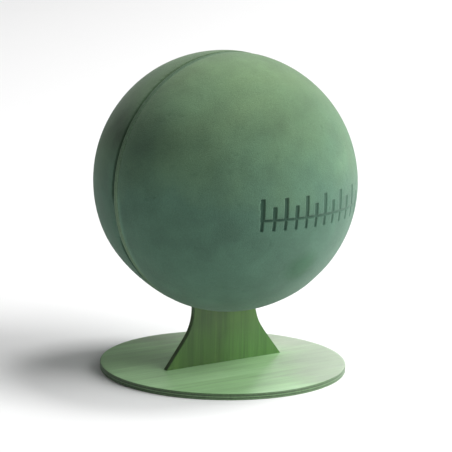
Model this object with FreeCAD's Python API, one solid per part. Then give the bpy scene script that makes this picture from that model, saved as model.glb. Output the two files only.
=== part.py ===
"""Floral foam ball on a flat wooden stand.

Two half balls of foam are glued to the two faces of an upright board. The board's round head lies
between them, and its flared neck stands on a thin round base, held by two tenons in through mortises.

Millimetres. The origin is the centre of the base's underside and +Z is up. The board lies in the XZ
plane, its thickness runs along Y, and the front half ball looks along -Y.
"""

import FreeCAD
import Part
import math
import os

# ---- driving dimensions (mm) ----

# base
disc_diameter = 210.0
disc_thickness = 5.5
disc_edge_radius = 0.6

# upright board
board_thickness = 5.0
board_edge_radius = 0.5
head_recess = 0.8  # how far the head's edge lies inside the foam's surface
throat_width = 63.0  # the neck where it enters the foam
foot_width = 118.0  # the neck where it meets the base
flare_height = 35.5  # above the base, where the line of the flank would meet the throat's line
flank_radius = 40.0  # the hollow curve between those two lines

# foam
foam_diameter = 220.0
foam_arris_radius = 2.2
foam_centre_height = 157.0  # above the base's upper face

# tenons and mortises
tenon_width = 24.0
tenon_spacing = 60.0  # between the tenons' centres
tenon_clearance = 0.15  # all round the tenon
tenon_setback = 0.5  # the tenon ends this far above the base's underside

# hot-melt dabs, which set the gap between the board and each half
front_dab_thickness = 0.4
rear_dab_thickness = 1.0
dab_diameter = 22.0
dab_ring_diameter = 130.0
dabs_in_ring = 6

# plain spacing scale pressed in the front half
scale_depth = 1.3
scale_line_width = 2.2
scale_pitch = 10.0
scale_first = -36.0  # along X, from the middle of the half ball
scale_last = 74.0
scale_line_height = -12.0  # from the foam's centre
tall_stroke = (3.4, 17.0)  # width and height, every second stroke above the line
middle_stroke = (3.4, 10.0)  # the strokes between, above the line
short_stroke = (2.4, 8.0)  # every stroke below the line

# ---- worked out from them ----

foam_radius = foam_diameter / 2
head_radius = foam_radius - head_recess
ball_z = disc_thickness + foam_centre_height
tenon_length = disc_thickness - tenon_setback

front = -1
rear = 1
dab_thickness = {front: front_dab_thickness, rear: rear_dab_thickness}


def vec(x, y, z):
    return FreeCAD.Vector(x, y, z)


def box_between(low, high):
    size = high - low
    return Part.makeBox(size.x, size.y, size.z, low)


def cylinder_along_y(radius, length, x, y, z):
    """A cylinder whose middle is at the given point."""
    return Part.makeCylinder(radius, length, vec(x, y - length / 2, z), vec(0, 1, 0))


def foam_centre(side):
    """The middle of a half ball's flat face, which is the centre of its round surface."""
    y = side * (board_thickness / 2 + dab_thickness[side])
    return vec(0, y, ball_z)


def tenon_centres():
    return (-tenon_spacing / 2, tenon_spacing / 2)


# ---- base ----


def mortise(x):
    half_width = tenon_width / 2 + tenon_clearance
    half_thickness = board_thickness / 2 + tenon_clearance
    over = 1.0
    low = vec(x - half_width, -half_thickness, -over)
    high = vec(x + half_width, half_thickness, disc_thickness + over)
    return box_between(low, high)


def round_rims(disc, radius):
    """Soften the two round edges of a plain disc."""
    rims = [edge for edge in disc.Edges if isinstance(edge.Curve, Part.Circle)]
    return disc.makeFillet(radius, rims)


def make_base_disc():
    disc = Part.makeCylinder(disc_diameter / 2, disc_thickness)
    disc = round_rims(disc, disc_edge_radius)
    for x in tenon_centres():
        disc = disc.cut(mortise(x))
    return disc


# ---- upright board ----


def flank_points(side):
    """The flank from the foot up to the throat: its foot, and the start, middle and end of the hollow."""
    half_foot = foot_width / 2
    half_throat = throat_width / 2
    slope = math.atan2(half_foot - half_throat, flare_height)
    tangent = flank_radius * math.tan(slope / 2)
    centre_x = half_throat + flank_radius
    centre_z = disc_thickness + flare_height + tangent

    def on_curve(angle):
        x = centre_x - flank_radius * math.cos(angle)
        z = centre_z - flank_radius * math.sin(angle)
        return vec(side * x, 0, z)

    foot = vec(side * half_foot, 0, disc_thickness)
    return foot, on_curve(slope), on_curve(slope / 2), on_curve(0)


def neck_face():
    """The neck's outline in the XZ plane, carried up to the middle of the head."""
    left_foot, left_start, left_middle, left_end = flank_points(-1)
    right_foot, right_start, right_middle, right_end = flank_points(1)
    left_top = vec(left_end.x, 0, ball_z)
    right_top = vec(right_end.x, 0, ball_z)
    edges = [
        Part.makeLine(left_foot, right_foot),
        Part.makeLine(right_foot, right_start),
        Part.Arc(right_start, right_middle, right_end).toShape(),
        Part.makeLine(right_end, right_top),
        Part.makeLine(right_top, left_top),
        Part.makeLine(left_top, left_end),
        Part.Arc(left_end, left_middle, left_start).toShape(),
        Part.makeLine(left_start, left_foot),
    ]
    return Part.Face(Part.Wire(edges))


def is_flank_edge(edge):
    """True for the edges of the neck's two flanks, but not for its level foot and top."""
    points = edge.discretize(5)
    half = board_thickness / 2
    on_broad_face = all(abs(abs(point.y) - half) < 1e-6 for point in points)
    level = abs(points[0].z - points[-1].z) < 1e-6
    return on_broad_face and not level


def make_head():
    head = cylinder_along_y(head_radius, board_thickness, 0, 0, ball_z)
    return round_rims(head, board_edge_radius)


def make_neck():
    outline = neck_face()
    outline.translate(vec(0, -board_thickness / 2, 0))
    neck = outline.extrude(vec(0, board_thickness, 0))
    flanks = [edge for edge in neck.Edges if is_flank_edge(edge)]
    return neck.makeFillet(board_edge_radius, flanks)


def tenon(x):
    low = vec(x - tenon_width / 2, -board_thickness / 2, disc_thickness - tenon_length)
    high = vec(x + tenon_width / 2, board_thickness / 2, disc_thickness + tenon_length)
    return box_between(low, high)


def make_upright_board():
    tenons = [tenon(x) for x in tenon_centres()]
    board = make_head().multiFuse([make_neck()] + tenons)
    return board.removeSplitter()


# ---- foam ----


def is_rim(edge, y):
    """True for the round edge of the half ball's flat face."""
    if edge.Degenerated:
        return False
    return all(abs(point.y - y) < 1e-6 for point in edge.discretize(5))


def make_foam_half(side):
    """A half ball whose flat face is turned to the board; side is front or rear."""
    centre = foam_centre(side)
    half = Part.makeSphere(foam_radius, centre, vec(0, side, 0), 0, 90, 360)
    rim = [edge for edge in half.Edges if is_rim(edge, centre.y)]
    return half.makeFillet(foam_arris_radius, rim)


def stroke(x, width, z_low, z_high):
    face_y = foam_centre(front).y
    low = vec(x - width / 2, face_y - foam_radius - 1.0, ball_z + z_low)
    high = vec(x + width / 2, face_y, ball_z + z_high)
    return box_between(low, high)


def scale_strokes():
    """The scale's base line, and the strokes above and below it."""
    top = scale_line_height + scale_line_width / 2
    bottom = scale_line_height - scale_line_width / 2
    middle = (scale_first + scale_last) / 2
    length = scale_last - scale_first + tall_stroke[0]
    strokes = [stroke(middle, length, bottom, top)]
    count = int((scale_last - scale_first) / scale_pitch) + 1
    for i in range(count):
        x = scale_first + i * scale_pitch
        width, height = middle_stroke if i % 2 else tall_stroke
        strokes.append(stroke(x, width, scale_line_height, top + height))
        width, height = short_stroke
        strokes.append(stroke(x, width, bottom - height, scale_line_height))
    return strokes


def press_scale(half):
    """Press the scale into the front half to an even depth below the round surface."""
    strokes = scale_strokes()
    pressed = strokes[0].multiFuse(strokes[1:])
    floor = Part.makeSphere(foam_radius - scale_depth, foam_centre(front))
    return half.cut(pressed.cut(floor))


# ---- glue ----


def dab_places():
    """The dabs' centres in X and Z: one in the middle and the others in a ring."""
    places = [(0.0, ball_z)]
    for i in range(dabs_in_ring):
        angle = 2 * math.pi * i / dabs_in_ring
        x = dab_ring_diameter / 2 * math.cos(angle)
        z = ball_z + dab_ring_diameter / 2 * math.sin(angle)
        places.append((x, z))
    return places


def make_glue_dabs(side):
    thickness = dab_thickness[side]
    y = side * (board_thickness + thickness) / 2
    dabs = [cylinder_along_y(dab_diameter / 2, thickness, x, y, z) for x, z in dab_places()]
    return Part.makeCompound(dabs)


def main():
    nodes = {
        "base_disc": make_base_disc(),
        "upright_board": make_upright_board(),
        "foam_half_front": press_scale(make_foam_half(front)),
        "foam_half_rear": make_foam_half(rear),
        "glue_dabs_front": make_glue_dabs(front),
        "glue_dabs_rear": make_glue_dabs(rear),
    }
    os.makedirs("parts", exist_ok=True)
    for name, shape in nodes.items():
        shape.exportStep("parts/" + name + ".step")
        box = shape.BoundBox
        print(name, len(shape.Solids), round(shape.Volume), shape.isValid(), box)


main()
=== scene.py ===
import math
import random

import bmesh
import bpy
import numpy as np
from mathutils import Matrix, Vector, noise


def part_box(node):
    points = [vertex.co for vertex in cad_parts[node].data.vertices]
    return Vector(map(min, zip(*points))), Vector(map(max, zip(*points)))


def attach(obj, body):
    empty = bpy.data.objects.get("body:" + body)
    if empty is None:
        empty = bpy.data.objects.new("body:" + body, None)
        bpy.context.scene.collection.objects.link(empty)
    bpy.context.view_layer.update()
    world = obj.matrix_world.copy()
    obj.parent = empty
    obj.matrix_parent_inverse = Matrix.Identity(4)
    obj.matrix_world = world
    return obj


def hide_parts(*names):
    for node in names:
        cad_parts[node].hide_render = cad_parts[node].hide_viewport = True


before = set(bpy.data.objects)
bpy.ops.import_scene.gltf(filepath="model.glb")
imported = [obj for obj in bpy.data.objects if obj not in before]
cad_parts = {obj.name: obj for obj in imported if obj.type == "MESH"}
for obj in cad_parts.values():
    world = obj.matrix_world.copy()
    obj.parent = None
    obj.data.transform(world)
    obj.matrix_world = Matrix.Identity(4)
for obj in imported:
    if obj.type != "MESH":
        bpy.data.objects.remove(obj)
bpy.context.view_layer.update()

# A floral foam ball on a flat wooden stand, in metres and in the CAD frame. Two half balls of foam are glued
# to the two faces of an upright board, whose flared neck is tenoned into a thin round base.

MM = 0.001
BODY = "root"
SEEDS = {
    "foam_front": 11,
    "foam_rear": 23,
    "base_chips": 41,
    "base_edge": 3.0,
    "board_chips": 57,
    "board_edge": 5.0,
}

# ---- sizes read from the frame ----

disc_low, disc_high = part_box("base_disc")
board_low, board_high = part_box("upright_board")
front_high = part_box("foam_half_front")[1]
rear_low, rear_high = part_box("foam_half_rear")

disc_radius = (disc_high.x - disc_low.x) / 2
disc_thickness = disc_high.z - disc_low.z
disc_top = disc_high.z
board_half = board_high.y
board_thickness = 2 * board_half
foam_radius = (rear_high.z - rear_low.z) / 2
ball_z = (rear_high.z + rear_low.z) / 2
front, rear = -1, 1
face_y = {front: front_high.y, rear: rear_low.y}  # where the two foam halves' flat faces lie
face_gap = rear_low.y - board_half  # the glue's thickness behind the board
head_proud = 0.3 * MM  # the head is this much larger than in the CAD, almost flush with the foam
head_radius = board_high.z - ball_z + head_proud

# ---- sizes that the frame's boxes don't give ----

# base and board
disc_edge = 0.6 * MM
board_edge = 0.5 * MM
foot_half = 59.0 * MM
foot_sink = 0.3 * MM  # the foot starts this far inside the base, so that no light passes under it
throat_half = 31.5 * MM
flare_height = 35.5 * MM
flank_radius = 40.0 * MM
tenon_half = 12.0 * MM
tenon_x = 30.0 * MM
tenon_corner = 0.3 * MM
tenon_sink = 0.2 * MM  # the tenon's top is this far below the base's, inside the foot
tenon_inset = 0.05 * MM  # the tenon is this much thinner than the board on each face

# foam
foam_arris = {front: 0.9 * MM, rear: 2.2 * MM}  # the front half's arris is pressed shut on the board

# the plain spacing scale pressed in the front half
scale_first = -36.0 * MM
scale_last = 74.0 * MM
scale_pitch = 10.0 * MM
scale_line_z = -12.0 * MM  # from the foam's centre
scale_line_half = 1.1 * MM
tall_half, tall_height = 1.7 * MM, 17.0 * MM
middle_half, middle_height = 1.7 * MM, 10.0 * MM
short_half, short_height = 1.2 * MM, 8.0 * MM
stroke_corner = 0.6 * MM
scale_depth = 1.3 * MM
scale_soft = 0.35 * MM  # half the width over which its edges slope down
scale_fade = 0.65  # the share of its depth that it has lost at the last stroke
scale_margin = 2.0 * MM  # how far round it the mesh is finer


# ---- small helpers ----


def smooth_step(low, high, values):
    t = np.clip((values - low) / (high - low), 0.0, 1.0)
    return t * t * (3.0 - 2.0 * t)


def noise_at(points, size, seed):
    """Smooth noise from about -1 to 1, in lumps about size across. Each seed gives another part of it."""
    shift = Vector((seed * 7.31, seed * 3.17, seed * 5.73))
    return np.array([noise.noise(Vector(p) / size + shift) for p in points])


def layered_noise(points, layers, seed):
    """The sum of several layers of noise, each given as its (lump size, strength)."""
    total = np.zeros(len(points))
    for i, (size, strength) in enumerate(layers):
        total += strength * noise_at(points, size, seed + i)
    return total


def make_object(name, vertices, faces):
    """A closed mesh object with its doubled vertices merged and its normals outward."""
    merge_distance = 1e-6
    shortest_edge = 1e-7
    mesh = bpy.data.meshes.new(name)
    mesh.from_pydata([tuple(v) for v in vertices], [], faces)
    shape = bmesh.new()
    shape.from_mesh(mesh)
    bmesh.ops.remove_doubles(shape, verts=shape.verts, dist=merge_distance)
    bmesh.ops.dissolve_degenerate(shape, edges=shape.edges, dist=shortest_edge)
    bmesh.ops.recalc_face_normals(shape, faces=shape.faces)
    shape.to_mesh(mesh)
    shape.free()
    for polygon in mesh.polygons:
        polygon.use_smooth = True
    piece = bpy.data.objects.new(name, mesh)
    bpy.context.scene.collection.objects.link(piece)
    return piece


def positions(mesh):
    flat = np.zeros(len(mesh.vertices) * 3, np.float32)
    mesh.vertices.foreach_get("co", flat)
    return flat.reshape(-1, 3).astype(float)


def set_positions(mesh, points):
    mesh.vertices.foreach_set("co", points.astype(np.float32).ravel())
    mesh.update()


def add_attribute(mesh, name, values):
    layer = mesh.attributes.new(name, "FLOAT", "POINT")
    layer.data.foreach_set("value", np.asarray(values, np.float32))


# ---- foam halves: the plain shape ----

DOME_CELLS = 220  # along each side of the square that is wrapped onto the dome
ARRIS_STEPS = 7
FLAT_RINGS = (0.985, 0.95, 0.85, 0.6, 0.3)  # the flat face's rings, as shares of its radius


def dome_angle(arris):
    """Where the round surface ends and the rounded arris begins, measured from the pole."""
    return math.acos(arris / (foam_radius - arris))


def dome_grid(arris):
    """A square grid wrapped evenly onto the dome, as (angle from the pole, angle round it)."""
    steps = np.linspace(-1.0, 1.0, DOME_CELLS + 1)
    a, b = np.meshgrid(steps, steps, indexing="ij")
    a_leads = np.abs(a) > np.abs(b)
    lead = np.where(a_leads, a, b)
    other = np.where(a_leads, b, a)
    safe = np.where(lead == 0.0, 1.0, lead)
    turn = math.pi / 4 * other / safe
    around = np.where(a_leads, turn, math.pi / 2 - turn)
    around = np.where(lead < 0.0, around + math.pi, around)
    share = np.abs(lead)
    polar = np.arccos(1.0 - share**2 * (1.0 - math.cos(dome_angle(arris))))
    return polar.ravel(), around.ravel()


def grid_rim():
    """The grid's outermost vertices, in order round the dome."""
    n = DOME_CELLS
    side_1 = [(n, j) for j in range(n)]
    side_2 = [(i, n) for i in range(n, 0, -1)]
    side_3 = [(0, j) for j in range(n, 0, -1)]
    side_4 = [(i, 0) for i in range(n)]
    return [i * (n + 1) + j for i, j in side_1 + side_2 + side_3 + side_4]


def rings_inward(arris):
    """The rings from the dome's end to the middle of the flat face, as (radius, depth from that face)."""
    flat_radius = math.sqrt((foam_radius - arris) ** 2 - arris**2)
    start = dome_angle(arris)
    rings = []
    for step in range(1, ARRIS_STEPS + 1):
        angle = start + (math.pi - start) * step / ARRIS_STEPS
        rings.append((flat_radius + arris * math.sin(angle), arris + arris * math.cos(angle)))
    for share in FLAT_RINGS:
        rings.append((flat_radius * share, 0.0))
    return rings


def half_ball(name, side):
    """A closed half ball: the dome, the rounded arris and the flat face."""
    arris = foam_arris[side]
    polar, around = dome_grid(arris)
    x = foam_radius * np.sin(polar) * np.cos(around)
    z = foam_radius * np.sin(polar) * np.sin(around)
    depth = foam_radius * np.cos(polar)
    vertices = list(np.stack([x, face_y[side] + side * depth, ball_z + z], 1))
    n = DOME_CELLS
    faces = []
    for i in range(n):
        for j in range(n):
            k = i * (n + 1) + j
            faces.append((k, k + n + 1, k + n + 2, k + 1))

    rim = grid_rim()
    previous = rim
    for out, depth in rings_inward(arris):
        start = len(vertices)
        y = face_y[side] + side * depth
        for angle in around[rim]:
            vertices.append((out * math.cos(angle), y, ball_z + out * math.sin(angle)))
        ring = list(range(start, start + len(rim)))
        for k in range(len(rim)):
            m = (k + 1) % len(rim)
            faces.append((previous[k], previous[m], ring[m], ring[k]))
        previous = ring
    vertices.append((0.0, face_y[side], ball_z))
    centre = len(vertices) - 1
    for k in range(len(rim)):
        faces.append((previous[k], previous[(k + 1) % len(rim)], centre))
    return make_object(name, vertices, faces)


# ---- foam halves: the pressed scale ----


def scale_strokes():
    """The scale's line and strokes, each as (middle x, middle z, half width, half height)."""
    middle = (scale_first + scale_last) / 2
    half_length = (scale_last - scale_first) / 2 + tall_half
    strokes = [(middle, scale_line_z, half_length, scale_line_half)]
    count = round((scale_last - scale_first) / scale_pitch) + 1
    for i in range(count):
        x = scale_first + i * scale_pitch
        half, height = (middle_half, middle_height) if i % 2 else (tall_half, tall_height)
        above = scale_line_half + height
        strokes.append((x, scale_line_z + above / 2, half, above / 2))
        below = scale_line_half + short_height
        strokes.append((x, scale_line_z - below / 2, short_half, below / 2))
    return strokes


def scale_distance(x, z):
    """How far each point is from the nearest stroke's edge, negative inside."""
    nearest = np.full(len(x), np.inf)
    for middle_x, middle_z, half_x, half_z in scale_strokes():
        dx = np.abs(x - middle_x) - half_x + stroke_corner
        dz = np.abs(z - middle_z) - half_z + stroke_corner
        outside = np.hypot(np.maximum(dx, 0.0), np.maximum(dz, 0.0))
        inside = np.minimum(np.maximum(dx, dz), 0.0)
        nearest = np.minimum(nearest, outside + inside - stroke_corner)
    return nearest


def scale_press(local, on_dome):
    """How deep the scale is pressed at each point, as a share of its depth."""
    distance = scale_distance(local[:, 0], local[:, 2])
    pressed = (1.0 - smooth_step(-scale_soft, scale_soft, distance)) * on_dome
    return pressed * (1.0 - scale_fade * smooth_step(scale_first, scale_last, local[:, 0]))


def refine_scale_region(mesh):
    """Divide the faces round the pressed scale, so that its edges are crisp."""
    low = scale_line_z - scale_line_half - short_height - scale_margin
    high = scale_line_z + scale_line_half + tall_height + scale_margin
    shape = bmesh.new()
    shape.from_mesh(mesh)
    chosen = []
    for face in shape.faces:
        centre = face.calc_center_median()
        across = scale_first - scale_margin < centre.x < scale_last + scale_margin
        up = low < centre.z - ball_z < high
        if across and up and centre.y < face_y[front] - foam_arris[front]:
            chosen.append(face)
    edges = list({edge for face in chosen for edge in face.edges})
    bmesh.ops.subdivide_edges(shape, edges=edges, cuts=2, use_grid_fill=True)
    shape.to_mesh(mesh)
    shape.free()


# ---- foam halves: wear ----

# spots on each half: their count, least and greatest radius, and least and greatest depth
DENTS = (9, 7 * MM, 16 * MM, 0.2 * MM, 0.55 * MM)
PITS = (70, 0.9 * MM, 1.9 * MM, 0.12 * MM, 0.4 * MM)
PIT_LIMIT = 3 * MM  # spots of a smaller radius are pits, which get painted shade
SPOT_REACH = 0.97  # spots keep to this share of the half ball's depth, measured from the pole

# broad shallow hollows: direction from the half ball's centre, radius and depth
HOLLOWS = {
    front: [],
    rear: [
        (np.array((-0.71, 0.33, -0.63)), 32 * MM, 0.6 * MM),
        (np.array((-0.58, 0.22, -0.79)), 36 * MM, 1.5 * MM),
    ],
}

# the whole surface's gentle waves and the arris's crumbs
wave_size, wave_depth = 55 * MM, 0.16 * MM
crumb_size, large_crumb_size = 3.5 * MM, 9 * MM
large_crumb_strength = 0.5
crumb_share = 0.25  # how deep the crumbs go, as a share of the arris

# how steeply a dent and a colour patch fade towards their edges
SPOT_FALL = 1.8
PATCH_FALL = 1.2

# broad lighter and darker patches, partly the foam's uneven colour and partly painted light and shade,
# such as painted shade on the upper left and painted light on the top: direction from the ball's centre,
# radius, and how much lighter
SHADE_LIGHT_AND_COLOUR_PATCHES = {
    front: (
        ((-0.68, -0.31, 0.67), 30 * MM, 0.24),
        ((-0.87, -0.21, 0.45), 27 * MM, -0.27),
        ((-0.87, -0.48, 0.09), 32 * MM, 0.20),
        ((-0.62, -0.72, -0.31), 42 * MM, -0.10),
        ((-0.04, -0.86, -0.51), 24 * MM, -0.14),
        ((-0.15, -0.35, 0.92), 40 * MM, 0.14),
        ((0.10, -0.80, 0.60), 34 * MM, -0.08),
        ((0.75, -0.45, -0.30), 38 * MM, 0.10),
        ((-0.15, -0.89, 0.42), 30 * MM, -0.15),
        ((-0.62, -0.64, 0.46), 34 * MM, -0.14),
        ((-0.34, -0.17, 0.93), 26 * MM, 0.12),
    ),
    rear: (
        ((-0.85, 0.22, 0.47), 32 * MM, -0.42),
        ((-0.91, 0.05, 0.41), 16 * MM, -0.22),
        ((0.35, 0.90, -0.20), 40 * MM, 0.14),
        ((-0.20, 0.75, -0.60), 36 * MM, -0.14),
        ((0.80, 0.35, 0.45), 30 * MM, 0.10),
    ),
}

# layers of noise, as (lump size, strength)
RAGGED = ((14 * MM, 1.0), (5 * MM, 0.5))  # makes the patches' edges uneven
CLOUDY = ((20 * MM, 0.10), (48 * MM, 0.08))  # makes the colour uneven everywhere
RAGGED_SHARE = 0.22  # how far the patches' edges stray, as a share of their radius

# stretches of the seam on the left, as the heights between which each one starts and ends, in foam radii
FILLED = ((-0.44, -0.30), (-0.12, 0.0))  # crumbled foam fills the seam
HIGHLIT_STRETCHES = ((-0.75, -0.5), (-0.1, 0.05))  # painted highlight: the front half's arris is painted lighter where it catches light
TOWARDS_TOP = (0.35, 0.7)  # the seam's painted shade grows less between these heights

# how far from its flat face a half ball's changes fade out, in arrises: where each starts to and ends
CRUMBLED = (0.5, 3.0)
SHADED = (0.55, 1.15)
BRIDGED = (0.9, 1.6)
DOME_START = 1.02  # also in arrises: the round surface, without the arris
HIGHLIGHT_DEPTH = (2 * MM, 6 * MM)  # the painted highlight fades out between these depths

OUTSIDE = (0.93, 0.98)  # the flat face gives way to the outside between these shares of the foam's radius
fill_inset = 0.3 * MM  # the foam that fills the seam lies this far inside the ball's surface
fill_reach = 0.85  # the share of the gap behind the board that it bridges
# how much lighter the painted highlight on the front half's arris makes it
highlight_lighter = 0.42
JOINT_SHADE = {front: 0.1, rear: 0.62}  # painted shade: how dark each half is painted where it meets the board
FILLED_PALER = 0.9  # the share of that shade that is lost where the seam is filled
TOP_PALER = 0.45  # and towards the top


def random_spots(rng, count, small, large, shallow, deep):
    """Spots on the dome, each as (unit direction from the half ball's centre, radius, depth)."""
    spots = []
    for _ in range(count):
        polar = math.acos(1.0 - rng.random() * SPOT_REACH)
        around = rng.random() * math.tau
        out = math.sin(polar)
        direction = np.array([out * math.cos(around), math.cos(polar), out * math.sin(around)])
        spots.append((direction, rng.uniform(small, large), rng.uniform(shallow, deep)))
    return spots


def sink_spots(unit, side, seed):
    """How far the dents, pits and hollows sink each point, and how much painted shade the pits give it."""
    rng = random.Random(seed)
    dents = random_spots(rng, *DENTS)
    pits = random_spots(rng, *PITS)
    sunk = np.zeros(len(unit))
    dark = np.zeros(len(unit))
    for direction, radius, depth in dents + pits + HOLLOWS[side]:
        away = np.linalg.norm(unit - direction, axis=1) * foam_radius
        bowl = np.exp(-((away / radius) ** 2) * SPOT_FALL)
        sunk += depth * bowl
        if radius < PIT_LIMIT:
            dark = np.maximum(dark, bowl)
    return sunk, dark


def seam_stretch(local, rise, limits):
    """1 within a stretch of heights on the ball's left and 0 outside it, where rise is the height."""
    start, end = limits
    return smooth_step(*start, rise) * (1.0 - smooth_step(*end, rise)) * (local[:, 0] < 0.0)


def near_face(local, arris, limits):
    """1 near the flat face and 0 away from it, where the limits are in arrises."""
    start, end = limits
    return 1.0 - smooth_step(arris * start, arris * end, local[:, 1])


def crumb_depth(local, arris, seed):
    """How deep the crumbs go at each point of the arris."""
    lumps = np.abs(noise_at(local, crumb_size, seed + 1.0))
    lumps += large_crumb_strength * np.abs(noise_at(local, large_crumb_size, seed + 2.0))
    return crumb_share * arris * lumps


def patch_tone(unit, side, seed):
    """How much lighter or darker the foam is at each point, as a share, with its painted light and shade."""
    points = unit * foam_radius
    ragged = layered_noise(points, RAGGED, seed + 5.0)
    tone = layered_noise(points, CLOUDY, seed + 7.0)
    for direction, radius, lighter in SHADE_LIGHT_AND_COLOUR_PATCHES[side]:
        centre = np.array(direction) / np.linalg.norm(direction)
        away = np.linalg.norm(unit - centre, axis=1) * foam_radius / radius
        tone += lighter * np.exp(-((away + RAGGED_SHARE * ragged) ** 2) * PATCH_FALL)
    return tone


def finish_foam(piece, side, seed):
    """Give a half ball its dents, pits, crumbled arris and, in front, the pressed scale.

    local holds the points from the half ball's centre, with Y as the depth from its flat face.
    """
    mesh = piece.data
    arris = foam_arris[side]
    flip = np.array([1.0, side, 1.0])
    centre = np.array([0.0, face_y[side], ball_z])
    local = (positions(mesh) - centre) * flip
    length = np.linalg.norm(local, axis=1)
    unit = local / np.maximum(length, 1e-9)[:, None]
    on_dome = local[:, 1] > arris * DOME_START
    local[on_dome] = unit[on_dome] * foam_radius
    rise = local[:, 2] / foam_radius
    outside = smooth_step(*OUTSIDE, length / foam_radius)

    inward, pit_shade = sink_spots(unit, side, seed)
    inward += wave_depth * (noise_at(local, wave_size, seed) + 1.0)
    crumbled = near_face(local, arris, CRUMBLED) * outside
    inward += crumb_depth(local, arris, seed) * crumbled
    pressed = np.zeros(len(local))
    if side == front:
        pressed = scale_press(local, on_dome)
        inward += scale_depth * pressed

    closed = seam_stretch(local, rise, FILLED) * outside
    # painted shade in the seam where each half meets the board, less where it is filled and towards the top
    seam_shade = near_face(local, arris, SHADED) * outside
    seam_shade *= (1.0 - FILLED_PALER * closed) * (1.0 - TOP_PALER * smooth_step(*TOWARDS_TOP, rise))
    if side == rear:
        filled = closed * near_face(local, arris, BRIDGED)
        full = foam_radius - fill_inset
        local += unit * (filled * (full - length))[:, None]
        local[:, 1] -= filled * fill_reach * face_gap
    local -= unit * (inward * (on_dome | (crumbled > 0.0)))[:, None]
    set_positions(mesh, local * flip + centre)

    tone = patch_tone(unit * flip, side, seed)
    if side == front:
        # a painted highlight along the front half's arris on the left
        highlight = seam_stretch(local, rise, HIGHLIT_STRETCHES)
        tone += highlight_lighter * highlight * (1.0 - smooth_step(*HIGHLIGHT_DEPTH, local[:, 1]))
    add_attribute(mesh, "tone", tone)
    add_attribute(mesh, "pressed", pressed)
    add_attribute(mesh, "pit_shade", pit_shade)
    add_attribute(mesh, "seam_shade", seam_shade * JOINT_SHADE[side])


def make_foam(name, node, side):
    piece = half_ball(name, side)
    if side == front:
        refine_scale_region(piece.data)
    finish_foam(piece, side, SEEDS[name])
    piece.data.materials.append(foam_material)
    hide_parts(node)
    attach(piece, BODY)


# ---- sheet wood ----

PLY_COUNT = 3
CORNER_STEPS = 4
DISC_STEPS, DISC_COLUMNS = 150, 110
FLANK_STEPS, CURVE_STEPS, THROAT_STEPS = 22, 25, 4
HEAD_STEPS, BOARD_COLUMNS = 110, 80

# the sheets' edges
groove_depth, groove_half = 0.16 * MM, 0.12 * MM  # the line between two plies
wave_length, waviness = 6 * MM, 0.05 * MM

# small splinters missing from the edges
BASE_CHIPS, BOARD_CHIPS = 46, 40
CHIP_HALF_LENGTHS = (0.6, 2.2)  # least and greatest, in millimetres
CHIP_BITES = (0.15, 0.5)  # likewise
CHIP_REACH = 2.0  # a chip's bite counts out to this many half lengths
chip_spread = 0.6 * MM  # how far a chip reaches across the sheet


def edge_profile(thickness, corner):
    """Points across a sheet's edge, as (inset, depth): a rounded corner, the plies and a rounded corner."""
    half = groove_half
    rounded = []
    for step in range(CORNER_STEPS + 1):
        angle = math.pi / 2 * step / CORNER_STEPS
        rounded.append((corner * (1 - math.sin(angle)), corner * (1 - math.cos(angle))))
    points = list(rounded)
    for ply in range(1, PLY_COUNT):
        line = thickness * ply / PLY_COUNT
        points += [(0.0, line - 2 * half), (0.0, line - half), (groove_depth, line)]
        points += [(0.0, line + half), (0.0, line + 2 * half)]
    for inset, depth in reversed(rounded):
        points.append((inset, thickness - depth))
    return points


def make_chips(rng, count, reach, depths):
    """Chips round a sheet whose outline is reach from its middle.

    Each is (direction round the sheet, half length as an angle, bite, depth).
    """
    chips = []
    for _ in range(count):
        angle = rng.random() * math.tau
        half_length = rng.uniform(*CHIP_HALF_LENGTHS) * MM / reach
        bite = rng.uniform(*CHIP_BITES) * MM
        chips.append((angle, half_length, bite, rng.choice(depths)))
    return chips


def chip_depth(chips, across, along, depth):
    """How far the chips bite into the edge at a point."""
    total = 0.0
    angle = math.atan2(along, across) % math.tau
    for direction, half_length, bite, level in chips:
        away = abs((angle - direction + math.pi) % math.tau - math.pi) / half_length
        if away < CHIP_REACH:
            height = (depth - level) / chip_spread
            total += bite * math.exp(-away * away - height * height)
    return total


def between(start, end, share):
    """The point at a share of the way from start to end."""
    return tuple(a + (b - a) * share for a, b in zip(start, end))


def edge_point(row, side, inset, depth, chips, seed):
    """A point on the left or right edge of a row, with the edge's waves and chips."""
    half, along, normal_across, normal_along = row
    across = side * half
    place = Vector((across, along, depth)) / wave_length + Vector((seed, 0, 0))
    inset += waviness * (1.0 + noise.noise(place)) + chip_depth(chips, across, along, depth)
    return (side * (half - inset * normal_across), along - inset * normal_along, depth)


def plate(rows, columns, thickness, corner, chips, seed):
    """A sheet between a left and a right outline, as points and faces.

    rows holds one (half width, along, normal across, normal along) for each level along the sheet.
    The points are in the sheet's own axes, which are across, along and depth.
    """
    profile = edge_profile(thickness, corner)
    first, last = profile[0], profile[-1]
    shares = np.linspace(0.0, 1.0, columns + 1)
    vertices, faces = [], []
    for row in rows:
        left_front = edge_point(row, -1, *first, chips, seed)
        right_front = edge_point(row, 1, *first, chips, seed)
        right_back = edge_point(row, 1, *last, chips, seed)
        left_back = edge_point(row, -1, *last, chips, seed)
        vertices += [between(left_front, right_front, share) for share in shares]
        vertices += [edge_point(row, 1, *point, chips, seed) for point in profile[1:-1]]
        vertices += [between(right_back, left_back, share) for share in shares]
        vertices += [edge_point(row, -1, *point, chips, seed) for point in reversed(profile[1:-1])]

    ring_size = 2 * (columns + 1) + 2 * (len(profile) - 2)
    top = (len(rows) - 1) * ring_size
    for start in range(0, top, ring_size):
        above = start + ring_size
        for k in range(ring_size):
            m = (k + 1) % ring_size
            faces.append((start + k, start + m, above + m, above + k))
    faces.append(tuple(range(ring_size)))
    faces.append(tuple(range(top + ring_size - 1, top - 1, -1)))
    return vertices, faces


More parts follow.
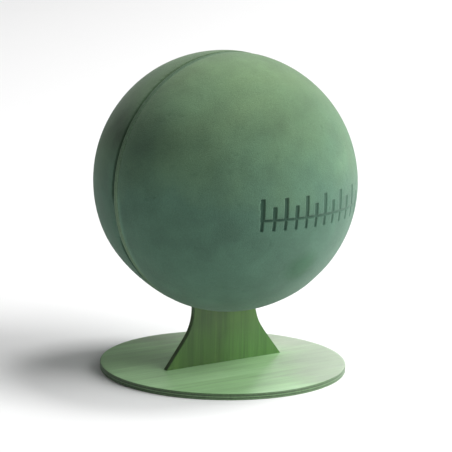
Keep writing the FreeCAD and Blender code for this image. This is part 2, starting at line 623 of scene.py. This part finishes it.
def round_row(radius, angle):
    """A row on a round outline, where the angle is measured from the sheet's across axis."""
    across, along = math.cos(angle), math.sin(angle)
    return (radius * across, radius * along, across, along)


def disc_rows():
    """The base's right outline from end to end."""
    return [round_row(disc_radius, -math.pi / 2 + math.pi * i / DISC_STEPS) for i in range(DISC_STEPS + 1)]


def flank_rows():
    """The neck's right outline from the foot up to the head, measured from the ball's centre."""
    slope = math.atan2(foot_half - throat_half, flare_height)
    tangent = flank_radius * math.tan(slope / 2)
    curve_end = disc_top + flare_height + tangent
    curve_start = curve_end - flank_radius * math.sin(slope)
    foot_z = disc_top - foot_sink
    head_z = ball_z - math.sqrt(head_radius**2 - throat_half**2)
    rows = []
    for i in range(FLANK_STEPS):
        z = foot_z + (curve_start - foot_z) * i / FLANK_STEPS
        half = foot_half - (z - foot_z) * math.tan(slope)
        rows.append((half, z - ball_z, math.cos(slope), math.sin(slope)))
    for i in range(CURVE_STEPS + 1):
        angle = slope * (1 - i / CURVE_STEPS)
        z = curve_end - flank_radius * math.sin(angle)
        half = throat_half + flank_radius * (1 - math.cos(angle))
        rows.append((half, z - ball_z, math.cos(angle), math.sin(angle)))
    for i in range(1, THROAT_STEPS + 1):
        z = curve_end + (head_z - curve_end) * i / THROAT_STEPS
        rows.append((throat_half, z - ball_z, 1.0, 0.0))
    return rows


def head_rows():
    """The head's right outline, from where the neck enters it to its top."""
    first = -math.acos(throat_half / head_radius)
    turn = math.pi / 2 - first
    return [round_row(head_radius, first + turn * i / HEAD_STEPS) for i in range(1, HEAD_STEPS + 1)]


def tenon_mesh(x):
    """One tenon, as points and faces in the board's own axes."""
    low = board_low.z - ball_z
    high = disc_top - tenon_sink - ball_z
    levels = [(low, tenon_corner), (low + tenon_corner, 0.0), (high, 0.0)]
    vertices, faces = [], []
    for level, inset in levels:
        wide = tenon_half - inset
        thick = board_half - tenon_inset - inset
        for across, depth in ((-wide, -thick), (wide, -thick), (wide, thick), (-wide, thick)):
            vertices.append((x + across, level, board_half + depth))

    # the sides between the three rings of four points, and the two ends
    for start in (0, 4):
        for k in range(4):
            m = (k + 1) % 4
            faces.append((start + k, start + m, start + 4 + m, start + 4 + k))
    faces.append((3, 2, 1, 0))
    faces.append((8, 9, 10, 11))
    return vertices, faces


def make_base():
    rng = random.Random(SEEDS["base_chips"])
    chips = make_chips(rng, BASE_CHIPS, disc_radius, (0.0, disc_thickness))
    rows = disc_rows()
    vertices, faces = plate(rows, DISC_COLUMNS, disc_thickness, disc_edge, chips, SEEDS["base_edge"])
    placed = [(x, y, disc_thickness - depth) for x, y, depth in vertices]
    piece = make_object("stand_base", placed, faces)
    piece.data.materials.append(base_material)
    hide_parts("base_disc")
    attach(piece, BODY)


def make_board():
    rng = random.Random(SEEDS["board_chips"])
    chips = make_chips(rng, BOARD_CHIPS, head_radius, (0.0, board_thickness))
    rows = flank_rows() + head_rows()
    vertices, faces = plate(rows, BOARD_COLUMNS, board_thickness, board_edge, chips, SEEDS["board_edge"])
    for x in (-tenon_x, tenon_x):
        more, more_faces = tenon_mesh(x)
        start = len(vertices)
        vertices += more
        faces += [tuple(start + k for k in face) for face in more_faces]
    placed = [(x, depth - board_half, ball_z + z) for x, z, depth in vertices]
    piece = make_object("stand_board", placed, faces)
    piece.data.materials.append(board_material)
    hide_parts("upright_board")
    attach(piece, BODY)


# ---- materials ----

# lumps per metre along X, Y and Z in the sheet wood's streaks, fibres and bands, by the axis of its grain
GRAIN = {
    "X": ((9, 230, 230), (35, 1500, 1500), (4, 46, 46)),
    "Z": ((230, 230, 9), (1500, 1500, 35), (70, 70, 5)),
}


class Nodes:
    """Short calls for building one material's node tree."""

    def __init__(self, name):
        self.material = bpy.data.materials.new(name)
        self.material.use_nodes = True
        self.tree = self.material.node_tree
        self.shader = self.tree.nodes["Principled BSDF"]
        coordinates = self.tree.nodes.new("ShaderNodeTexCoord")
        self.place = coordinates.outputs["Object"]

    def link(self, source, target):
        self.tree.links.new(source, target)

    def fill(self, socket, value):
        """Link a socket to another, or set it to a number or a colour."""
        if isinstance(value, bpy.types.NodeSocket):
            self.link(value, socket)
        elif isinstance(value, tuple):
            socket.default_value = (*value, 1.0)
        else:
            socket.default_value = value

    def stretched(self, x, y, z, shift=0.0):
        """The place on the object, with each axis multiplied. shift sets one texture apart from another."""
        node = self.tree.nodes.new("ShaderNodeMapping")
        node.inputs["Scale"].default_value = (x, y, z)
        node.inputs["Location"].default_value = (shift, shift * 0.7, shift * 1.3)
        self.link(self.place, node.inputs["Vector"])
        return node.outputs["Vector"]

    def axis(self, letter):
        """The place along one axis."""
        node = self.tree.nodes.new("ShaderNodeSeparateXYZ")
        self.link(self.place, node.inputs[0])
        return node.outputs[letter]

    def attribute(self, name):
        node = self.tree.nodes.new("ShaderNodeAttribute")
        node.attribute_name = name
        return node.outputs["Fac"]

    def noise(self, vector, detail=3.0, roughness=0.5, distortion=0.0):
        node = self.tree.nodes.new("ShaderNodeTexNoise")
        node.inputs["Scale"].default_value = 1.0
        node.inputs["Detail"].default_value = detail
        node.inputs["Roughness"].default_value = roughness
        node.inputs["Distortion"].default_value = distortion
        self.link(vector, node.inputs["Vector"])
        return node.outputs["Fac"]

    def cells(self, vector):
        """The distance from the middle of the nearest cell."""
        node = self.tree.nodes.new("ShaderNodeTexVoronoi")
        node.inputs["Scale"].default_value = 1.0
        self.link(vector, node.inputs["Vector"])
        return node.outputs["Distance"]

    def ramp(self, value, stops):
        """stops is a list of (place, colour or grey)."""
        node = self.tree.nodes.new("ShaderNodeValToRGB")
        elements = node.color_ramp.elements
        while len(elements) < len(stops):
            elements.new(0.5)
        for element, (place, colour) in zip(elements, stops):
            element.position = place
            tone = colour if isinstance(colour, tuple) else (colour,) * 3
            element.color = (*tone, 1.0)
        self.link(value, node.inputs["Fac"])
        return node.outputs["Color"]

    def mix(self, share, first, second, blend="MIX"):
        """Two colours mixed. The node has sockets for each kind of value, and these are the colours'."""
        node = self.tree.nodes.new("ShaderNodeMix")
        node.data_type = "RGBA"
        node.blend_type = blend
        self.fill(node.inputs[0], share)
        self.fill(node.inputs[6], first)
        self.fill(node.inputs[7], second)
        return node.outputs[2]

    def math(self, operation, first, second=0.0):
        node = self.tree.nodes.new("ShaderNodeMath")
        node.operation = operation
        self.fill(node.inputs[0], first)
        self.fill(node.inputs[1], second)
        return node.outputs[0]

    def grey(self, value):
        """A colour whose three parts are all the value."""
        node = self.tree.nodes.new("ShaderNodeCombineColor")
        for channel in ("Red", "Green", "Blue"):
            self.link(value, node.inputs[channel])
        return node.outputs["Color"]

    def bump(self, height, distance, strength, normal=None):
        node = self.tree.nodes.new("ShaderNodeBump")
        node.inputs["Distance"].default_value = distance
        node.inputs["Strength"].default_value = strength
        self.link(height, node.inputs["Height"])
        if normal is not None:
            self.link(normal, node.inputs["Normal"])
        return node.outputs["Normal"]

    def patch(self, centre, radius, core, strength):
        """How much a patch covers: all of its strength out to core, a share of its radius, and then less.

        Its edge is ragged, and drawn out along X.
        """
        node = self.tree.nodes.new("ShaderNodeVectorMath")
        node.operation = "DISTANCE"
        self.link(self.place, node.inputs[0])
        node.inputs[1].default_value = centre
        away = self.math("DIVIDE", node.outputs["Value"], radius)
        ragged = self.noise(self.stretched(12, 60, 60, 11.0))
        away = self.math("ADD", away, self.math("MULTIPLY", self.math("SUBTRACT", ragged, 0.5), 0.5))
        return self.ramp(away, [(core, strength), (1.0, 0.0)])


def make_foam_material():
    """Dry phenolic floral foam: a dusty matt skin of tiny cells, slightly uneven in colour.

    Its colour also holds painted light towards the top and painted shade in the pits and the seam.
    """
    # tones up the ball's height, lighter and yellower towards its top: painted warm light from above
    warm_top_light_tones = [
        (0.48, (0.077, 0.157, 0.109)),
        (0.68, (0.102, 0.189, 0.110)),
        (0.98, (0.122, 0.200, 0.103)),
    ]
    stain_tone = (0.040, 0.116, 0.062)
    pressed_tone = (0.020, 0.054, 0.036)
    # the last two tones are painted shade, in the pits and in the seam
    pit_shade_tone = (0.035, 0.080, 0.050)
    seam_shade_tone = (0.022, 0.045, 0.026)
    stain = Vector((0.0, face_y[front], ball_z)) + Vector((0.10, -0.84, -0.53)) * foam_radius

    n = Nodes("dry_floral_foam")
    cells = n.cells(n.stretched(1900, 1900, 1900))
    grit = n.noise(n.stretched(900, 900, 900, 3.0), detail=4.0, roughness=0.65)
    mottle = n.noise(n.stretched(75, 75, 75, 9.0), detail=4.0, roughness=0.55, distortion=0.3)
    cloud = n.noise(n.stretched(17, 17, 17, 5.0))
    height = n.math("DIVIDE", n.math("SUBTRACT", n.axis("Z"), ball_z), foam_radius)
    height = n.math("ADD", height, n.math("MULTIPLY", n.math("SUBTRACT", cloud, 0.5), 0.8))
    share = n.math("ADD", n.math("MULTIPLY", height, 0.5), 0.5)
    tone = n.ramp(share, warm_top_light_tones)
    tone = n.mix(n.patch(stain, 20 * MM, core=0.35, strength=0.85), tone, stain_tone)
    lighter = n.math("ADD", n.attribute("tone"), 1.0)
    tone = n.mix(1.0, tone, n.grey(lighter), "MULTIPLY")
    tone = n.mix(0.5, tone, n.ramp(mottle, [(0.3, 0.42), (0.7, 0.58)]), "OVERLAY")
    tone = n.mix(0.45, tone, n.ramp(grit, [(0.3, 0.36), (0.72, 0.62)]), "OVERLAY")
    tone = n.mix(0.35, tone, n.ramp(cells, [(0.1, 0.30), (0.5, 0.60)]), "OVERLAY")
    tone = n.mix(n.math("MULTIPLY", n.attribute("pressed"), 0.8), tone, pressed_tone)
    # painted shade in the pits
    tone = n.mix(n.math("MULTIPLY", n.attribute("pit_shade"), 0.22), tone, pit_shade_tone)
    # painted shade in the seam
    tone = n.mix(n.attribute("seam_shade"), tone, seam_shade_tone)
    n.link(tone, n.shader.inputs["Base Color"])
    n.link(n.ramp(mottle, [(0.3, 0.86), (0.7, 0.98)]), n.shader.inputs["Roughness"])
    n.shader.inputs["Specular IOR Level"].default_value = 0.2
    n.shader.inputs["Sheen Weight"].default_value = 0.24
    n.shader.inputs["Sheen Roughness"].default_value = 0.45
    n.shader.inputs["Sheen Tint"].default_value = (0.85, 0.95, 0.88, 1.0)
    skin = n.bump(cells, 0.22 * MM, 0.55)
    skin = n.bump(grit, 0.5 * MM, 0.4, skin)
    skin = n.bump(mottle, 1.2 * MM, 0.25, skin)
    n.link(skin, n.shader.inputs["Normal"])
    return n.material


def ply_stops(bottom, middle, top, line, half):
    """Tones across the sheet's edge: three plies, with a glue line of the given half width between them."""
    slope = 0.03
    stops = []
    for place, below, above in ((1 / 3, bottom, middle), (2 / 3, middle, top)):
        stops += [(place - half - slope, below), (place - half, line)]
        stops += [(place + half, line), (place + half + slope, above)]
    return stops


def make_wood_material(
    name, grain, across, start, thickness, dark, light, height_stops, edge_stops, plies, edge_rough, patches
):
    """Sheet wood stained green, with tones that change up the stand's height.

    grain is the axis that its fibres follow, X or Z, and across is the axis across the sheet, which starts
    at start. dark and light are the bands on its faces. height_stops are tones up the height for the faces,
    and edge_stops for the edge; on the board both hold painted light and shade. plies are tones across the
    edge, and edge_rough is its roughness. patches are places where the faces' tone is changed, each with its
    centre, radius, core, tone and strength; on the base they are painted light and shade.
    """
    n = Nodes(name)
    streaks, fibres, bands = GRAIN[grain]
    streak = n.noise(n.stretched(*streaks), roughness=0.6, distortion=0.4)
    fibre = n.noise(n.stretched(*fibres, 2.0), roughness=0.6)
    band = n.noise(n.stretched(*bands, 6.0), roughness=0.55, distortion=0.6)
    blotch = n.noise(n.stretched(28, 28, 28, 8.0))
    height = n.math("MULTIPLY", n.axis("Z"), 1.0 / board_high.z)
    tone = n.ramp(band, [(0.32, dark), (0.66, light)])
    tone = n.mix(1.0, tone, n.ramp(height, height_stops), "MULTIPLY")
    for centre, radius, core, colour, strength in patches:
        tone = n.mix(n.patch(centre, radius, core, strength), tone, colour)
    tone = n.mix(0.6, tone, n.ramp(streak, [(0.3, 0.36), (0.7, 0.63)]), "OVERLAY")
    tone = n.mix(0.5, tone, n.ramp(fibre, [(0.3, 0.38), (0.7, 0.6)]), "OVERLAY")
    tone = n.mix(0.4, tone, n.ramp(blotch, [(0.3, 0.42), (0.7, 0.58)]), "OVERLAY")

    # the sheet's edge: three plies with a dark glue line between them
    depth = n.math("DIVIDE", n.math("SUBTRACT", n.axis(across), start), thickness)
    edge = n.mix(1.0, n.ramp(height, edge_stops), n.ramp(depth, plies), "MULTIPLY")
    end_grain = n.noise(n.stretched(700, 700, 700, 4.0), detail=2.0)
    edge = n.mix(0.7, edge, n.ramp(end_grain, [(0.3, 0.34), (0.7, 0.64)]), "OVERLAY")

    # a surface is part of the edge where it doesn't face across the sheet
    geometry = n.tree.nodes.new("ShaderNodeNewGeometry")
    normal = n.tree.nodes.new("ShaderNodeSeparateXYZ")
    n.link(geometry.outputs["True Normal"], normal.inputs[0])
    facing = n.math("ABSOLUTE", normal.outputs[across])
    on_edge = n.ramp(facing, [(0.84, 1.0), (0.95, 0.0)])
    n.link(n.mix(on_edge, tone, edge), n.shader.inputs["Base Color"])
    rough = n.mix(on_edge, n.ramp(streak, [(0.3, 0.28), (0.7, 0.34)]), (edge_rough,) * 3)
    n.link(rough, n.shader.inputs["Roughness"])
    n.shader.inputs["Specular IOR Level"].default_value = 0.5
    relief = n.bump(fibre, 0.18 * MM, 0.5)
    relief = n.bump(streak, 0.3 * MM, 0.35, relief)
    n.link(relief, n.shader.inputs["Normal"])
    return n.material


def make_base_material():
    edge_tone = (0.096, 0.180, 0.078)
    right_front = (125 * MM, -85 * MM, disc_top)
    right_back = (100 * MM, 40 * MM, disc_top)
    back = (5 * MM, 108 * MM, disc_top)
    return make_wood_material(
        name="green_stained_base",
        grain="X",
        across="Z",
        start=disc_low.z,
        thickness=disc_thickness,
        dark=(0.272, 0.480, 0.222),
        light=(0.385, 0.625, 0.330),
        height_stops=[(0.0, 1.0), (1.0, 1.0)],
        edge_stops=[(0.0, edge_tone), (1.0, edge_tone)],
        plies=ply_stops(bottom=1.15, middle=1.5, top=0.9, line=0.5, half=0.07),
        edge_rough=0.32,
        # the patches are painted light and shade: grey painted shade behind the board, darker painted shade
        # over the right, and a pale grey painted highlight on the right-back
        patches=[
            (back, 54 * MM, 0.35, (0.230, 0.300, 0.202), 0.9),
            (right_front, 124 * MM, 0.84, (0.272, 0.435, 0.222), 0.8),
            (right_back, 68 * MM, 0.35, (0.330, 0.385, 0.290), 0.85),
            (right_front, 112 * MM, 0.74, (0.243, 0.332, 0.207), 0.9),
        ],
    )


def make_board_material():
    neck_left = (-24 * MM, 0.0, 28 * MM)
    foot_right = (45 * MM, 0.0, 8 * MM)
    return make_wood_material(
        name="green_stained_board",
        grain="Z",
        across="Y",
        start=-board_half,
        thickness=board_thickness,
        dark=(0.042, 0.117, 0.017),
        light=(0.084, 0.184, 0.037),
        # the faces are painted lighter up the neck: painted light against the ball's shadow at its top
        height_stops=[(0.04, 0.92), (0.18, 1.15)],
        # the edge's tones up the height: round the head it is lighter bare ply, a little lighter again in
        # the ball's lower half, which is painted light from below; the neck's darker edge is painted shade
        edge_stops=[
            (0.18, (0.080, 0.140, 0.055)),
            (0.24, (0.135, 0.245, 0.135)),
            (0.60, (0.130, 0.240, 0.130)),
            (0.72, (0.125, 0.225, 0.130)),
        ],
        plies=ply_stops(bottom=1.0, middle=0.85, top=1.0, line=0.35, half=0.02),
        edge_rough=0.65,
        patches=[
            (neck_left, 42 * MM, 0.35, (0.044, 0.108, 0.020), 0.75),
            (foot_right, 50 * MM, 0.35, (0.081, 0.210, 0.045), 0.8),
        ],
    )


def make_glue_material():
    """Set hot-melt glue: cloudy, amber and slightly glossy."""
    thin, thick = (0.62, 0.52, 0.30), (0.80, 0.74, 0.55)
    n = Nodes("hot_melt_glue")
    cloud = n.noise(n.stretched(220, 220, 220))
    n.link(n.ramp(cloud, [(0.3, thin), (0.7, thick)]), n.shader.inputs["Base Color"])
    n.link(n.ramp(cloud, [(0.3, 0.25), (0.7, 0.4)]), n.shader.inputs["Roughness"])
    n.link(n.bump(cloud, 0.4 * MM, 0.4), n.shader.inputs["Normal"])
    return n.material


def make_floor_material():
    n = Nodes("pale_floor")
    n.shader.inputs["Base Color"].default_value = (0.86, 0.86, 0.86, 1.0)
    n.shader.inputs["Roughness"].default_value = 0.9
    n.shader.inputs["Specular IOR Level"].default_value = 0.1
    return n.material


foam_material = make_foam_material()
base_material = make_base_material()
board_material = make_board_material()
glue_material = make_glue_material()

# ---- the pieces ----

make_foam("foam_front", "foam_half_front", front)
make_foam("foam_rear", "foam_half_rear", rear)
make_base()
make_board()
for node in ("glue_dabs_front", "glue_dabs_rear"):
    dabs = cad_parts[node]
    dabs.data.materials.clear()
    dabs.data.materials.append(glue_material)


# ---- floor, light and camera ----

VIEW_AZIMUTH = math.radians(-34.42)
VIEW_ELEVATION = math.radians(11.99)
VIEW_ROLL = math.radians(0.9)
VIEW_DISTANCE = 2.268  # m, from the point that the camera is aimed at
AIM_HEIGHT = 118.0 * MM  # above the base's upper face
AIM_RIGHT = 1.0 * MM
LENS = 213.4  # mm
SENSOR = 36.0  # mm

FLOOR_HALF = 3.0  # m
WORLD_STRENGTH = 0.1
LIGHT_DISTANCE = 4.0  # m
LIGHT_AIM = 0.8  # the share of the ball's height that the lights are turned to
LIGHTS = (
    # name, azimuth, elevation, width (m), height (m), power (W)
    ("key", 37.0, 38.0, 2.9, 2.9, 172.0),
    ("high_right", 84.0, 65.0, 1.2, 1.2, 86.0),
    ("low_right", 55.0, 17.0, 1.6, 1.6, 44.0),
    ("low_back", 98.0, 12.0, 1.6, 1.6, 28.0),
    ("backdrop", 124.0, 13.0, 2.75, 1.6, 34.0),
    ("back_left", -172.0, 42.0, 1.6, 1.6, 12.0),
)


def back_direction(azimuth, elevation):
    """From the object towards a camera or light."""
    flat = math.cos(elevation)
    return Vector((math.sin(azimuth) * flat, -math.cos(azimuth) * flat, math.sin(elevation)))


def add_light(name, azimuth, elevation, width, height, power):
    """A plain soft box turned to the ball."""
    target = Vector((0.0, 0.0, ball_z * LIGHT_AIM))
    back = back_direction(math.radians(azimuth), math.radians(elevation))
    data = bpy.data.lights.new(name, "AREA")
    data.shape = "RECTANGLE"
    data.size = width
    data.size_y = height
    data.energy = power
    light = bpy.data.objects.new(name, data)
    light.location = target + back * LIGHT_DISTANCE
    light.rotation_euler = back.to_track_quat("Z", "Y").to_euler()
    bpy.context.scene.collection.objects.link(light)


def add_camera():
    back = back_direction(VIEW_AZIMUTH, VIEW_ELEVATION)
    right = Vector((math.cos(VIEW_AZIMUTH), math.sin(VIEW_AZIMUTH), 0.0))
    target = Vector((0.0, 0.0, disc_top + AIM_HEIGHT)) + right * AIM_RIGHT
    data = bpy.data.cameras.new("camera")
    data.lens = LENS
    data.sensor_width = SENSOR
    data.clip_start = 0.1
    data.clip_end = 50.0
    camera = bpy.data.objects.new("camera", data)
    turn = back.to_track_quat("Z", "Y").to_matrix().to_4x4() @ Matrix.Rotation(VIEW_ROLL, 4, "Z")
    camera.matrix_world = Matrix.Translation(target + back * VIEW_DISTANCE) @ turn
    bpy.context.scene.collection.objects.link(camera)
    bpy.context.scene.camera = camera


def add_floor():
    half = FLOOR_HALF
    corners = [(-half, -half, 0.0), (half, -half, 0.0), (half, half, 0.0), (-half, half, 0.0)]
    mesh = bpy.data.meshes.new("floor")
    mesh.from_pydata(corners, [], [(0, 1, 2, 3)])
    floor = bpy.data.objects.new("floor", mesh)
    floor.data.materials.append(make_floor_material())
    bpy.context.scene.collection.objects.link(floor)


def set_world():
    world = bpy.data.worlds.new("studio")
    world.use_nodes = True
    background = world.node_tree.nodes["Background"]
    background.inputs["Color"].default_value = (1.0, 1.0, 1.0, 1.0)
    background.inputs["Strength"].default_value = WORLD_STRENGTH
    bpy.context.scene.world = world
    bpy.context.scene.view_settings.view_transform = "Standard"


add_camera()
add_floor()
set_world()
for row in LIGHTS:
    add_light(*row)
